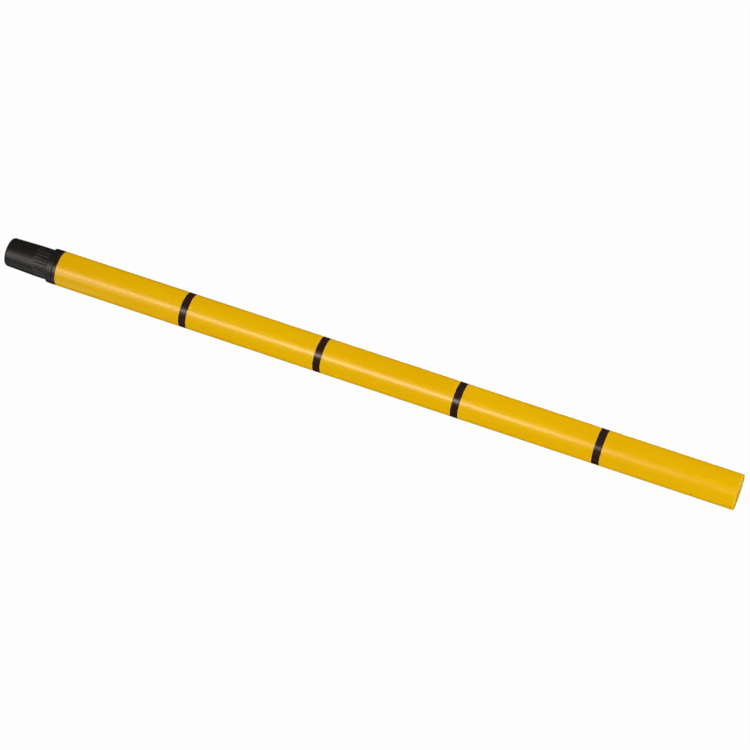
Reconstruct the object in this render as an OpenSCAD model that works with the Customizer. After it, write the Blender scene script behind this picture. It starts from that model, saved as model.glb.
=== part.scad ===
// Telescopic marker bollard, shown retracted and locked.
// A yellow sleeve slides up a fixed inner stem, and a twist lock inside the
// sleeve holds it at any height. The stem stands on a black foot whose spigot
// drops into a ground socket. The origin is the centre of the foot's shoulder,
// at ground level, and +Z points up the post.

/* [Post] */
// Outer diameter of the sleeve, the mouth bush and the foot's flange
body_d = 50; // [42:0.5:70]
// Length of each yellow field below a marking band
field_len = 191.7; // [150:0.1:260]
// Length of the last yellow field, from the top band to the top of the cap
top_field_len = 188; // [150:0.5:260]
// Wall of the sleeve tube
sleeve_wall = 2.4; // [1.8:0.1:3.5]
// Wall of the inner stem tube
stem_wall = 2; // [1.5:0.1:3]
// Radial space between the sleeve's bore and the stem, which the guides fill
guide_t = 2.6; // [2.2:0.1:4]

/* [Marking bands] */
// Number of marking bands
band_count = 4; // [2:1:6]
// Width of each marking band
band_w = 11; // [6:0.5:16]
// Thickness of each marking band, which lies flush in its seat
band_t = 0.6; // [0.4:0.1:1]

/* [Foot] */
// Height of the foot's flange above the ground line
flange_h = 10; // [8:0.5:20]
// Width of the shoulder that rests on the ground socket
shoulder_w = 2.9; // [2:0.1:5]
// Length of the spigot below the ground line
spigot_len = 67; // [55:1:110]
// Length of the ribbed part of the spigot, below the shoulder
rib_len = 22; // [12:1:30]
// Number of lengthwise grooves between the ribs
rib_count = 24; // [16:1:28]
// Depth of each groove between the ribs
rib_depth = 0.6; // [0.3:0.1:0.8]
// Radius of the round-nosed groove between two ribs
rib_groove_r = 0.6; // [0.5:0.05:0.7]
// Amount by which the spigot's radius shrinks from its ribs to its tip
tip_taper = 1.4; // [0.5:0.1:2]
// Radius of the rim round the spigot's tip
tip_rim_r = 3; // [1:0.5:4]
// Depth of the stem's seat below the ground line
stem_seat = 35; // [28:1:45]
// Depth of the recess for the foot bolt's head, in the spigot's tip
foot_recess = 12; // [10:1:14]

/* [Mouth bush] */
// Height of the bush's lip, below the sleeve tube
lip_h = 5; // [3:0.5:8]
// Length of the bush inside the sleeve tube
bush_len = 40; // [25:1:60]
// Height of the wiper seal
wiper_h = 1.8; // [1.4:0.1:2.2]
// Radial thickness of the wiper seal
wiper_t = 1.5; // [1:0.1:1.8]
// Thickness of the rubber buffer that meets the stop collar
buffer_t = 4; // [2:0.5:8]

/* [Stem head] */
// Length of the guide ring at the top of the stem
guide_len = 25; // [15:1:40]
// Distance from the stop collar up to the guide ring
guide_spacing = 102.3; // [60:0.1:160]
// Height of the stop collar
collar_h = 14; // [10:1:20]
// Diameter of the pins that hold the stop collar
collar_pin_d = 3; // [2:0.5:4]
// Number of pins that hold the stop collar
collar_pin_count = 3; // [2:1:6]
// Length of the upper plug inside the stem
upper_plug_len = 50; // [45:1:80]
// Thickness of the upper plug's flange
plug_flange_t = 5; // [3:0.5:8]
// Depth from the stem's top to its cross pin
upper_pin_depth = 35; // [33:1:44]
// Length of the lower plug inside the stem
lower_plug_len = 49; // [46:1:70]
// Height of the lower cross pin above the ground line
lower_pin_z = 4; // [3.5:0.5:5]
// Diameter of the two cross pins
cross_pin_d = 5; // [3:0.5:6]

/* [Twist lock] */
// Diameter of the threaded spindle
spindle_d = 10; // [8:1:12]
// Length of the spindle inside the upper plug
spindle_grip = 27; // [20:1:27]
// Rise of the wedge for one full turn of the sleeve
thread_lead = 3; // [2:0.5:4]
// Turn from locked to free, in degrees
unlock_turn = 180; // [90:15:360]
// Height of the collet
collet_h = 40; // [32:1:50]
// Thickness of the collet's floor
collet_floor = 5; // [3:0.5:8]
// Wall of the collet at its open top
collet_wall = 2.35; // [2:0.05:3]
// Slope of the wedge's cone, from the axis, in degrees
cone_angle = 8; // [5:0.5:10]
// Number of slots that let the collet spread
slot_count = 4; // [3:1:8]
// Width of each slot
slot_w = 2; // [1.5:0.1:3]
// Space between the wedge cone's foot and the floor of the collet's slots
cone_foot_gap = 2; // [1:0.5:4]
// Height of the wedge cone that stands above the collet
cone_proud = 8; // [4:1:12]
// Outer diameter of the brass insert in the wedge cone
insert_d = 16; // [15:0.5:18]
// Thickness of each friction ring
friction_ring_d = 1.5; // [1:0.1:2]

/* [Nuts and washers] */
// Height of the jam nut under the lock
jam_nut_h = 5; // [4:0.5:8]
// Height of the nut on the spindle's top
stop_nut_h = 8; // [6:0.5:10]
// Width across flats of both nuts
nut_af = 16; // [15:1:18]
// Thickness of the thrust washer and the stop washer
lock_washer_t = 2; // [1:0.5:3]
// Outer diameter of the thrust washer and the stop washer
lock_washer_d = 24; // [20:1:28]
// Shank diameter of the foot bolt
foot_bolt_d = 8; // [6:1:10]
// Thickness of the foot bolt's washer
foot_washer_t = 1.6; // [1:0.2:2.5]

/* [Top cap] */
// Height of the cap's rim above the sleeve tube
cap_rim_h = 3; // [2:0.5:6]
// Length of the cap inside the sleeve tube
cap_plug_len = 27; // [18:1:45]
// Wall of the cap's skirt and thickness of its webs
cap_wall = 3; // [2:0.5:4]
// Radius of the rounded edge round the cap
cap_edge_r = 1.2; // [0.5:0.1:1.8]
// Thickness of the rubber pad under the cap
pad_t = 5; // [3:0.5:8]

/* [Clearances] */
// Radial clearance of a guide that slides or turns
run_gap = 0.05; // [0.02:0.01:0.1]
// Radial clearance of a rubber seal that rubs
seal_gap = 0.03; // [0.01:0.01:0.05]
// Radial clearance of a pressed or threaded piece
fit_gap = 0.02; // [0.01:0.01:0.05]
// Gap between faces that meet at the end of a movement
face_gap = 0.3; // [0.2:0.05:0.5]
// Radial clearance of a stop collar that passes inside the sleeve
pass_gap = 0.4; // [0.3:0.1:0.8]
// Space above the spindle's tip when the sleeve is down
tip_gap = 4; // [2:0.5:8]

/* [Hidden] */
$fn = 96;
eps = 1; // overshoot of a cutter past the face that it cuts
edge = 0.4; // small chamfer on a turned edge

// Radii from the outside in
body_r = body_d / 2;
sleeve_bore_r = body_r - sleeve_wall;
stem_r = sleeve_bore_r - guide_t;
stem_bore_r = stem_r - stem_wall;
band_seat_r = body_r - band_t;
spigot_r = body_r - shoulder_w;
tip_r = spigot_r - tip_taper;
spindle_r = spindle_d / 2;
guide_r = sleeve_bore_r - run_gap;
collar_r = sleeve_bore_r - pass_gap;

// Heights of the sleeve, from the bottom up
lip_z = flange_h;
tube_z = lip_z + lip_h;
top_z = tube_z + band_count * (field_len + band_w) + top_field_len;
tube_top_z = top_z - cap_rim_h;
bush_top_z = tube_z + bush_len;
buffer_top_z = bush_top_z + buffer_t;

// Heights of the stem head, from the top down
pad_z = tube_top_z - cap_plug_len - pad_t;
spindle_top_z = pad_z - tip_gap;
spindle_tail = 2; // thread that shows above the stop nut
stop_gap = 0.5; // play left under the stop washer when the wedge is up
cone_travel = thread_lead * unlock_turn / 360;
stop_nut_z = spindle_top_z - spindle_tail - stop_nut_h;
stop_washer_z = stop_nut_z - lock_washer_t;
cone_top_z = stop_washer_z - cone_travel - stop_gap;
collet_top_z = cone_top_z - cone_proud;
collet_z = collet_top_z - collet_h;
slot_floor_z = collet_z + 2 * collet_floor;
cone_z = slot_floor_z + cone_foot_gap;
cone_h = cone_top_z - cone_z;
thrust_washer_z = collet_z - 0.2 - lock_washer_t;
jam_nut_z = thrust_washer_z - jam_nut_h;
stem_top_z = jam_nut_z - plug_flange_t;
spindle_z = jam_nut_z - spindle_grip;
guide_z = stem_top_z - guide_len;
collar_z = guide_z - guide_spacing - collar_h;
upper_pin_z = stem_top_z - upper_pin_depth;

// Foot: the stem stands on a web, which the foot bolt clamps from below
stem_z = -stem_seat;
web_z = foot_recess - spigot_len;
foot_web = stem_z - web_z;
foot_bolt_r = foot_bolt_d / 2;
foot_head_r = 0.8 * foot_bolt_d;
foot_head_h = foot_bolt_d;
foot_recess_r = foot_head_r + 2.6;
foot_bolt_top_z = lower_pin_z - cross_pin_d / 2 - 6;
foot_hole_gap = 0.3;

// Lift of the sleeve, from resting on the foot to meeting the stop collar
lift = collar_z - face_gap - buffer_top_z;

// Cone of the wedge and of its seat in the collet
seat_top_r = guide_r - collet_wall;
seat_h = collet_h - collet_floor;
seat_floor_r = seat_top_r - seat_h * tan(cone_angle);
cone_gap = run_gap / cos(cone_angle);
ring_groove_w = friction_ring_d + 0.2;
ring_groove_r = sleeve_bore_r - seal_gap - friction_ring_d - fit_gap;

// Fins on the wedge cone, which run in the collet's slots, inside the friction rings
fin_w = slot_w - 0.4;
fin_r = ring_groove_r - face_gap;

black = "#26262a";
yellow = "#e0aa05";
steel = "#b9bcc0";
brass = "#c8a24a";
rubber = "#1a1a1c";

BANDS = [for (i = [1 : band_count]) str("marking_band_", i)];

// ---- Shared shapes ----

// Plain ring from radius r_in to r_out, standing on height z
module ring(r_in, r_out, z, h) {
    translate([0, 0, z]) rotate_extrude()
        translate([r_in, 0]) square([r_out - r_in, h]);
}

// Ring with a small chamfer round both of its outer edges
module turned_ring(r_in, r_out, z, h, c = edge) {
    translate([0, 0, z]) rotate_extrude() polygon([
        [r_in, 0], [r_out - c, 0], [r_out, c],
        [r_out, h - c], [r_out - c, h], [r_in, h]
    ]);
}

// Round rod with a small chamfer at both ends
module turned_rod(r, z, h, c = edge) {
    translate([0, 0, z]) rotate_extrude() polygon([
        [0, 0], [r - c, 0], [r, c], [r, h - c], [r - c, h], [0, h]
    ]);
}

// Rod that lies along X through the post's axis, at height z
module cross_rod(r, length, z) {
    translate([0, 0, z]) rotate([0, 90, 0])
        cylinder(r = r, h = length, center = true);
}

// Rods that point outwards, evenly spaced round the post
module radial_rods(count, r, from_r, to_r, z) {
    for (i = [0 : count - 1])
        rotate([0, 0, i * 360 / count]) translate([from_r, 0, z])
            rotate([0, 90, 0]) cylinder(r = r, h = to_r - from_r);
}

// Hexagon nut with a round bore
module hex_nut(z, h) {
    translate([0, 0, z]) difference() {
        cylinder(d = nut_af / cos(30), h = h, $fn = 6);
        translate([0, 0, -eps]) cylinder(r = spindle_r + fit_gap, h = h + 2 * eps);
    }
}

// ---- Foot and stem ----

// Outline of the spigot and flange, from the tip's centre to the flange's top
function foot_outline() = concat(
    [[0, -spigot_len]],
    [for (a = [-90 : 10 : 0])
        [tip_r - tip_rim_r + tip_rim_r * cos(a), -spigot_len + tip_rim_r + tip_rim_r * sin(a)]],
    [[spigot_r, -rib_len], [spigot_r, 0], [body_r - edge, 0], [body_r, edge]],
    [[body_r, flange_h - face_gap - edge], [body_r - edge, flange_h - face_gap]],
    [[0, flange_h - face_gap]]
);

// Groove that the seat ring lies in
seat_ring_w = 1.8;
seat_ring_depth = 1.6;
seat_ring_r = (stem_r + body_r) / 2 - seat_ring_w / 2;

module foot_spigot() {
    color(black) difference() {
        rotate_extrude() polygon(foot_outline());
        translate([0, 0, stem_z]) cylinder(r = stem_r + fit_gap, h = stem_seat + flange_h);
        translate([0, 0, web_z - eps])
            cylinder(r = foot_bolt_r + foot_hole_gap, h = foot_web + 2 * eps);
        translate([0, 0, -spigot_len - eps])
            cylinder(r = foot_recess_r, h = spigot_len + web_z + eps);
        for (i = [0 : rib_count - 1])
            rotate([0, 0, (i + 0.5) * 360 / rib_count])
                translate([spigot_r - rib_depth + rib_groove_r, 0, -rib_len])
                    cylinder(r = rib_groove_r, h = rib_len, $fn = 24);
        ring(
            seat_ring_r, seat_ring_r + seat_ring_w,
            flange_h - face_gap - seat_ring_depth, seat_ring_depth + eps
        );
    }
}

module seat_ring() {
    color(rubber) ring(
        seat_ring_r + fit_gap, seat_ring_r + seat_ring_w - fit_gap,
        flange_h - face_gap - seat_ring_depth, seat_ring_depth + face_gap - run_gap
    );
}

module foot_bolt() {
    head_z = web_z - foot_washer_t - foot_head_h;
    socket_af = 0.75 * foot_bolt_d;
    color(steel) difference() {
        union() {
            turned_rod(foot_head_r, head_z, foot_head_h);
            turned_rod(foot_bolt_r, head_z + 1, foot_bolt_top_z - head_z - 1);
        }
        translate([0, 0, head_z - eps])
            cylinder(d = socket_af / cos(30), h = foot_head_h / 2 + eps, $fn = 6);
    }
}

module foot_washer() {
    color(steel) ring(
        foot_bolt_r + foot_hole_gap, foot_recess_r - foot_hole_gap,
        web_z - foot_washer_t, foot_washer_t
    );
}

module lower_plug() {
    color(steel) difference() {
        turned_rod(stem_bore_r - fit_gap, stem_z, lower_plug_len);
        translate([0, 0, stem_z - eps])
            cylinder(r = foot_bolt_r + fit_gap, h = foot_bolt_top_z + 2 - stem_z + eps);
        cross_rod(cross_pin_d / 2 + fit_gap, 4 * stem_r, lower_pin_z);
    }
}

module cross_pins() {
    pin_r = cross_pin_d / 2;
    length = 2 * sqrt(stem_r * stem_r - pin_r * pin_r) - 0.1;
    color(steel) for (z = [lower_pin_z, upper_pin_z]) cross_rod(pin_r, length, z);
}

module stem_tube() {
    color(black) difference() {
        ring(stem_bore_r, stem_r, stem_z, stem_top_z - stem_z);
        for (z = [lower_pin_z, upper_pin_z])
            cross_rod(cross_pin_d / 2 + fit_gap, 4 * stem_r, z);
        radial_rods(
            collar_pin_count, collar_pin_d / 2 + fit_gap,
            stem_bore_r / 2, body_r, collar_z + collar_h / 2
        );
    }
}

module stop_collar() {
    color(steel) difference() {
        turned_ring(stem_r + fit_gap, collar_r, collar_z, collar_h);
        radial_rods(
            collar_pin_count, collar_pin_d / 2 + fit_gap,
            stem_bore_r / 2, body_r, collar_z + collar_h / 2
        );
    }
}

module stop_collar_pins() {
    pin_r = collar_pin_d / 2;
    reach = sqrt(collar_r * collar_r - pin_r * pin_r) - 0.1;
    color(steel) radial_rods(
        collar_pin_count, pin_r, stem_bore_r - 0.5, reach, collar_z + collar_h / 2
    );
}

module guide_ring() {
    color(rubber) turned_ring(stem_r + fit_gap, guide_r, guide_z, guide_len);
}

module upper_plug() {
    color(steel) difference() {
        union() {
            turned_rod(
                stem_bore_r - fit_gap, stem_top_z - upper_plug_len,
                upper_plug_len + plug_flange_t
            );
            turned_rod(collar_r, stem_top_z, plug_flange_t);
        }
        translate([0, 0, spindle_z])
            cylinder(r = spindle_r + fit_gap, h = spindle_grip + eps);
        cross_rod(cross_pin_d / 2 + fit_gap, 4 * stem_r, upper_pin_z);
    }
}

// ---- Twist lock ----

module lock_spindle() {
    color(steel) turned_rod(spindle_r, spindle_z, spindle_top_z - spindle_z, 1);
}

module spindle_jam_nut() {
    color(steel) hex_nut(jam_nut_z, jam_nut_h);
}

module thrust_washer() {
    color(black) ring(spindle_r + fit_gap, lock_washer_d / 2, thrust_washer_z, lock_washer_t);
}

module stop_washer() {
    color(steel) ring(spindle_r + fit_gap, lock_washer_d / 2, stop_washer_z, lock_washer_t);
}

module stop_nut() {
    color(steel) hex_nut(stop_nut_z, stop_nut_h);
}

// Heights of the two friction rings on the collet
friction_ring_zs = [collet_z + 0.3 * collet_h, collet_z + 0.75 * collet_h];

module lock_collet() {
    color(black) difference() {
        turned_ring(spindle_r + face_gap, guide_r, collet_z, collet_h);
        translate([0, 0, collet_z + collet_floor])
            cylinder(r1 = seat_floor_r, r2 = seat_top_r + eps * tan(cone_angle), h = seat_h + eps);
        for (i = [0 : slot_count - 1])
            rotate([0, 0, (i + 0.5) * 360 / slot_count])
                translate([spindle_r, -slot_w / 2, slot_floor_z])
                    cube([body_r, slot_w, collet_h]);
        for (z = friction_ring_zs)
            ring(ring_groove_r, body_r, z - ring_groove_w / 2, ring_groove_w);
    }
}

module friction_rings() {
    color(rubber) for (z = friction_ring_zs)
        translate([0, 0, z]) rotate_extrude()
            translate([sleeve_bore_r - seal_gap - friction_ring_d / 2, 0])
                circle(d = friction_ring_d, $fn = 32);
}

module wedge_cone() {
    seat_r = seat_floor_r + (cone_z - collet_z - collet_floor) * tan(cone_angle);
    color(black) difference() {
        union() {
            translate([0, 0, cone_z]) cylinder(
                r1 = seat_r - cone_gap, r2 = seat_top_r - cone_gap, h = cone_h - cone_proud
            );
            translate([0, 0, collet_top_z])
                cylinder(r = seat_top_r - cone_gap, h = cone_proud);
            for (i = [0 : slot_count - 1])
                rotate([0, 0, (i + 0.5) * 360 / slot_count])
                    translate([insert_d / 2 + 1, -fin_w / 2, cone_z])
                        cube([fin_r - insert_d / 2 - 1, fin_w, cone_h - cone_proud]);
        }
        translate([0, 0, cone_z - eps])
            cylinder(r = insert_d / 2 + fit_gap, h = cone_h + 2 * eps);
    }
}

module wedge_insert() {
    color(brass) turned_ring(spindle_r + run_gap, insert_d / 2, cone_z, cone_h);
}

// ---- Sleeve ----

// Height of the lower edge of one marking band, counted from the bottom
function band_z(i) = tube_z + i * field_len + (i - 1) * band_w;

module sleeve_tube() {
    color(yellow) difference() {
        ring(sleeve_bore_r, body_r, tube_z, tube_top_z - tube_z);
        for (i = [1 : band_count])
            ring(band_seat_r, body_r + eps, band_z(i), band_w);
    }
}

module marking_band(i) {
    color(black) ring(band_seat_r + fit_gap, body_r, band_z(i) + fit_gap, band_w - 2 * fit_gap);
}

// Height and radius of the wiper's groove in the bush's lip
wiper_z = lip_z + (lip_h - wiper_h) / 2;
wiper_groove_r = stem_r + run_gap + wiper_t;

module mouth_bush() {
    color(black) difference() {
        union() {
            turned_ring(stem_r + run_gap, body_r, lip_z, lip_h, edge / 2);
            ring(stem_r + run_gap, sleeve_bore_r - fit_gap, lip_z + edge, lip_h + bush_len - edge);
        }
        ring(stem_r, wiper_groove_r, wiper_z, wiper_h);
    }
}

module wiper_seal() {
    color(rubber) ring(
        stem_r + seal_gap, wiper_groove_r - fit_gap, wiper_z + fit_gap, wiper_h - 2 * fit_gap
    );
}

module lift_buffer() {
    color(rubber) ring(stem_r + face_gap, sleeve_bore_r - fit_gap, bush_top_z, buffer_t);
}

// Outline of the cap's rim, with a rounded edge
function cap_rim_outline() = concat(
    [[0, tube_top_z], [body_r, tube_top_z]],
    [for (a = [0 : 10 : 90])
        [body_r - cap_edge_r + cap_edge_r * cos(a), top_z - cap_edge_r + cap_edge_r * sin(a)]],
    [[0, top_z]]
);

module top_cap() {
    skirt_r = sleeve_bore_r - fit_gap;
    boss_r = 3 * cap_wall;
    skirt_z = tube_top_z - cap_plug_len;
    color(yellow) union() {
        rotate_extrude() polygon(cap_rim_outline());
        ring(skirt_r - cap_wall, skirt_r, skirt_z, cap_plug_len + edge);
        turned_rod(boss_r, skirt_z, cap_plug_len + edge);
        for (i = [0 : 3])
            rotate([0, 0, i * 90]) translate([boss_r - edge, -cap_wall / 2, skirt_z])
                cube([skirt_r - cap_wall - boss_r + 2 * edge, cap_wall, cap_plug_len + edge]);
    }
}

module cap_pad() {
    color(rubber) turned_rod(sleeve_bore_r - cap_wall, pad_z, pad_t);
}

// ---- Whole post ----

foot_spigot();
seat_ring();
foot_bolt();
foot_washer();
lower_plug();
cross_pins();
stem_tube();
stop_collar();
stop_collar_pins();
guide_ring();
upper_plug();
lock_spindle();
spindle_jam_nut();
thrust_washer();
stop_washer();
stop_nut();
lock_collet();
friction_rings();
wedge_cone();
wedge_insert();
sleeve_tube();
mouth_bush();
wiper_seal();
lift_buffer();
top_cap();
cap_pad();
for (i = [1 : band_count])
    marking_band(i);
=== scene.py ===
"""Visual model of a slim telescopic marker bollard, retracted and locked.

A yellow sleeve with four black bands stands on a black ribbed foot. Inside it
are a black stem and a twist lock. Every length in a piece's class is in
millimetres and becomes metres when its surface is made, and the studio is in
metres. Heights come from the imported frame.
"""

import logging
import math
from collections.abc import Callable, Mapping, Sequence
from dataclasses import dataclass
from enum import Enum, IntEnum
from functools import lru_cache
from typing import Any

import bpy
import numpy as np
from mathutils import Matrix, Vector


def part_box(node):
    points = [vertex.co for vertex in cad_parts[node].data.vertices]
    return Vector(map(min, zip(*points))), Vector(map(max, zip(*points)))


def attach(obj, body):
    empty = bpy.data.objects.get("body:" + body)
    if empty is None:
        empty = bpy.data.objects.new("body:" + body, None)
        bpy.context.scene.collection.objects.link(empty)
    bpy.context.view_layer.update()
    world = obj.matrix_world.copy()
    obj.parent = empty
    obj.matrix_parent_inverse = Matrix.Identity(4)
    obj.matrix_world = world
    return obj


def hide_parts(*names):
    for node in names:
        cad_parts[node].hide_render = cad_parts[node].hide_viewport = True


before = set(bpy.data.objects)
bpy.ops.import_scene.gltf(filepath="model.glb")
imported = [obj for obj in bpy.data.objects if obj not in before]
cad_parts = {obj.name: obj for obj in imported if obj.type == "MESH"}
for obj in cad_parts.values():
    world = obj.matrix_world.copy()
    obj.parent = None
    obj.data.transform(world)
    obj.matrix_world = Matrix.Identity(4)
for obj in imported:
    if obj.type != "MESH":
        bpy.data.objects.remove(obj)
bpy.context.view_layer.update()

MM = 0.001  # metres in a millimetre
TO_MM = 1000.0  # millimetres in a metre
FULL_TURN = 2 * math.pi
HALF_SIDE = math.pi / 6  # angle from the middle of a hexagon's side to its corner
SHARP = math.radians(38)  # faces that meet at more than this keep a hard edge
GAP = 0.02  # clearance between fitted pieces, and how near to a wall counts as on it
ARC_CHORDS = 5  # chords in a rounded corner
SIDE_SHARE = 0.48  # most of a side that one rounding may take up
LEAD = 0.35  # straight lead beyond an arc, as a share of its radius
LEAD_ROOM = 4  # a side this many times as long as the arc's reach has room for a lead

log = logging.getLogger("marker_bollard")

Corner = tuple[float, float, float]  # radius, height, rounding
Colour = tuple[float, float, float]
Shape = Callable[[np.ndarray, np.ndarray, np.ndarray], np.ndarray]


class Body(str, Enum):
    """The bodies that pieces ride on."""

    STEM = "stem"
    JAWS = "lock_jaws"
    WEDGE = "wedge"
    SLEEVE = "sleeve"


class Cut(str, Enum):
    """How one solid changes another."""

    TAKE_AWAY = "DIFFERENCE"
    ADD = "UNION"


class Columns(IntEnum):
    """How many columns a surface has round the axis."""

    TUBE = 192
    RING = 160
    PLUG = 128
    WASHER = 96
    STAGE = 64
    SPINDLE = 60
    CROSS_PIN = 40
    ROLL_PIN = 28
    CORD = 24


# ---------------------------------------------------------------- surfaces


@dataclass(frozen=True)
class Span:
    """Outer radius and height range of a CAD node, in millimetres."""

    radius: float
    low: float
    high: float

    @classmethod
    def of(cls, node: str) -> "Span":
        """Measures a CAD node."""
        low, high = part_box(node)
        return cls(max(high.x, high.y) / MM, low.z / MM, high.z / MM)

    @property
    def middle(self) -> float:
        """Height halfway up."""
        return (self.low + self.high) / 2


def outline(corners: Sequence[Corner], closed: bool = True) -> np.ndarray:
    """Rounds the corners of an outline in the plane of radius and height.

    With unit vectors a and b from corner P to its neighbours, at an angle w,
    the rounding f is an arc about P + (a + b) / |a + b| * f / sin(w / 2), from
    P + a f / tan(w / 2) to P + b f / tan(w / 2). A short straight lead beyond
    both ends of an arc keeps flat faces flat under smooth shading.

    Args:
        corners: Radius, height and rounding of each corner, with the solid on
            the left of the way along.
        closed: True for the section of a ring, False for an outline that
            starts and ends on the axis.

    Returns:
        Points along the outline, as (count, 2).
    """
    place = np.array([c[:2] for c in corners], float)
    points: list[np.ndarray] = []
    for k, (_, _, rounding) in enumerate(corners):
        here = place[k]
        at_end = not closed and k in (0, len(corners) - 1)
        if rounding <= 0 or at_end:
            points.append(here[None])
            continue
        back, on = place[k - 1] - here, place[(k + 1) % len(corners)] - here
        back_len, on_len = np.linalg.norm(back), np.linalg.norm(on)
        a, b = back / back_len, on / on_len
        half = math.acos(float(np.clip(a @ b, -1, 1))) / 2
        tangent = min(rounding / math.tan(half), SIDE_SHARE * back_len, SIDE_SHARE * on_len)
        radius = tangent * math.tan(half)
        centre = here + (a + b) / np.linalg.norm(a + b) * radius / math.sin(half)
        first, last = here + a * tangent - centre, here + b * tangent - centre
        sweep = math.pi - 2 * half
        s = np.linspace(0, 1, ARC_CHORDS + 1)[:, None]
        arc = centre + (np.sin((1 - s) * sweep) * first + np.sin(s * sweep) * last) / math.sin(sweep)
        reach = tangent + LEAD * radius
        if back_len > LEAD_ROOM * reach:
            points.append((here + a * reach)[None])
        points.append(arc)
        if on_len > LEAD_ROOM * reach:
            points.append((here + b * reach)[None])
    return np.concatenate(points)


def even_turns(count: int) -> np.ndarray:
    """Angles of evenly spaced columns round the axis."""
    return np.arange(count) * (FULL_TURN / count)


def carried_round(profile: np.ndarray, turns: np.ndarray, shape: Shape | None = None) -> np.ndarray:
    """Carries an outline round the axis.

    The point at outline step s and angle t is (R cos t, R sin t, h), where
    R = shape(r, h, t) and (r, h) is the outline at s.

    Args:
        profile: Radius and height along the outline.
        turns: Angles of the columns.
        shape: Changes the radius with height and angle, or None.

    Returns:
        Points of the surface, as (outline steps, columns, 3), in millimetres.
    """
    radius, turn = np.meshgrid(profile[:, 0], turns, indexing="ij")
    height = np.repeat(profile[:, 1:], len(turns), axis=1)
    if shape is not None:
        radius = shape(radius, height, turn)
    return np.stack([radius * np.cos(turn), radius * np.sin(turn), height], axis=-1)


def turned(grid: np.ndarray, turn: Matrix, shift: Sequence[float] = (0, 0, 0)) -> np.ndarray:
    """Turns a grid of points and then shifts it."""
    return grid @ np.array(turn).T + np.array(shift, float)


def bars(turns: Sequence[float], ends: Sequence[float], width: float, low: float, high: float) -> list[np.ndarray]:
    """Flat-sided bars that point out from the axis.

    Each is a four-cornered section at heights (low, low, high, high), shrunk to
    a point at both ends, so it has the same form of grid as a rounded piece.

    Args:
        turns: Angle of each bar about the axis, in radians.
        ends: Distances of the two ends from the axis.
        width: Width across a bar.
        low: Lowest height.
        high: Highest height.

    Returns:
        Points of each surface, as (4, 4, 3).
    """
    (start, end), half = ends, width / 2
    ring = np.array([[start, -half], [end, -half], [end, half], [start, half]], float)
    middle = np.broadcast_to(ring.mean(axis=0), ring.shape)
    flat = np.stack([middle, ring, ring, middle])
    height = np.broadcast_to(np.array([low, low, high, high], float)[:, None, None], (4, 4, 1))
    grid = np.concatenate([flat, height], axis=2)
    return [turned(grid, Matrix.Rotation(turn, 3, "Z")) for turn in turns]


def skin(grid: np.ndarray, ring: bool) -> tuple[np.ndarray, list[list[int]]]:
    """Faces of a closed surface on a grid whose columns join up.

    Face (i, j) has corners (i, j), (i, j+1), (i+1, j+1), (i+1, j). The first
    and last rows are single points on the axis unless the rows join up too.

    Args:
        grid: Points, as (rows, columns, 3).
        ring: True where the last row joins the first.

    Returns:
        The points without repeats, and the faces.
    """
    rows, columns = grid.shape[:2]
    index = np.arange(rows * columns).reshape(rows, columns)
    if not ring:
        index[0], index[-1] = index[0, 0], index[-1, 0]
    used, compact = np.unique(index, return_inverse=True)
    points = grid.reshape(-1, 3)[used]
    index = compact.reshape(rows, columns)
    below = index if ring else index[:-1]
    above = np.roll(index, -1, axis=0) if ring else index[1:]
    corners = np.stack([below, np.roll(below, -1, 1), np.roll(above, -1, 1), above], axis=-1)
    if ring:
        return points, corners.reshape(-1, 4).tolist()
    start, end = corners[0][:, [0, 2, 3]], corners[-1][:, [0, 1, 3]]
    return points, corners[1:-1].reshape(-1, 4).tolist() + start.tolist() + end.tolist()


def read_all(rows: bpy.types.bpy_prop_collection, key: str, kind: type, width: int = 1) -> np.ndarray:
    """Reads one property of every row of a mesh, as one flat array.

    Args:
        rows: The mesh's loops, edges or faces.
        key: Name of the property.
        kind: Type of its numbers.
        width: How many numbers each row has.

    Returns:
        The numbers.
    """
    values = np.empty(len(rows) * width, kind)
    rows.foreach_get(key, values)
    return values


def mark_hard_edges(mesh: bpy.types.Mesh) -> None:
    """Marks each edge whose two faces meet at acos(n1 . n2) > SHARP as hard.

    Args:
        mesh: The mesh to mark.
    """
    loop_edge = read_all(mesh.loops, "edge_index", np.int32)
    totals = read_all(mesh.polygons, "loop_total", np.int32)
    normals = read_all(mesh.polygons, "normal", np.float32, 3).reshape(-1, 3)
    loop_face = np.repeat(np.arange(len(totals)), totals)
    first, last = np.zeros((2, len(mesh.edges)), np.int64)
    first[loop_edge[::-1]] = loop_face[::-1]
    last[loop_edge] = loop_face
    cosine = np.einsum("ij,ij->i", normals[first], normals[last])
    hard = mesh.attributes.get("sharp_edge") or mesh.attributes.new("sharp_edge", "BOOLEAN", "EDGE")
    hard.data.foreach_set("value", cosine < math.cos(SHARP))


def piece_of(name: str, grids: Sequence[np.ndarray], ring: bool) -> bpy.types.Object:
    """Makes one object from closed surfaces.

    Args:
        name: Name of the piece.
        grids: Points of each surface, in millimetres.
        ring: True where each outline is the closed section of a ring.

    Returns:
        The object, at the origin.
    """
    points, faces, offset = [], [], 0
    for grid in grids:
        part_points, part_faces = skin(grid, ring)
        points.append(part_points)
        faces += [[k + offset for k in face] for face in part_faces]
        offset += len(part_points)
    mesh = bpy.data.meshes.new(name)
    mesh.from_pydata((np.concatenate(points) * MM).tolist(), [], faces)
    mesh.shade_smooth()
    mark_hard_edges(mesh)
    piece = bpy.data.objects.new(name, mesh)
    bpy.context.scene.collection.objects.link(piece)
    return piece


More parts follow.
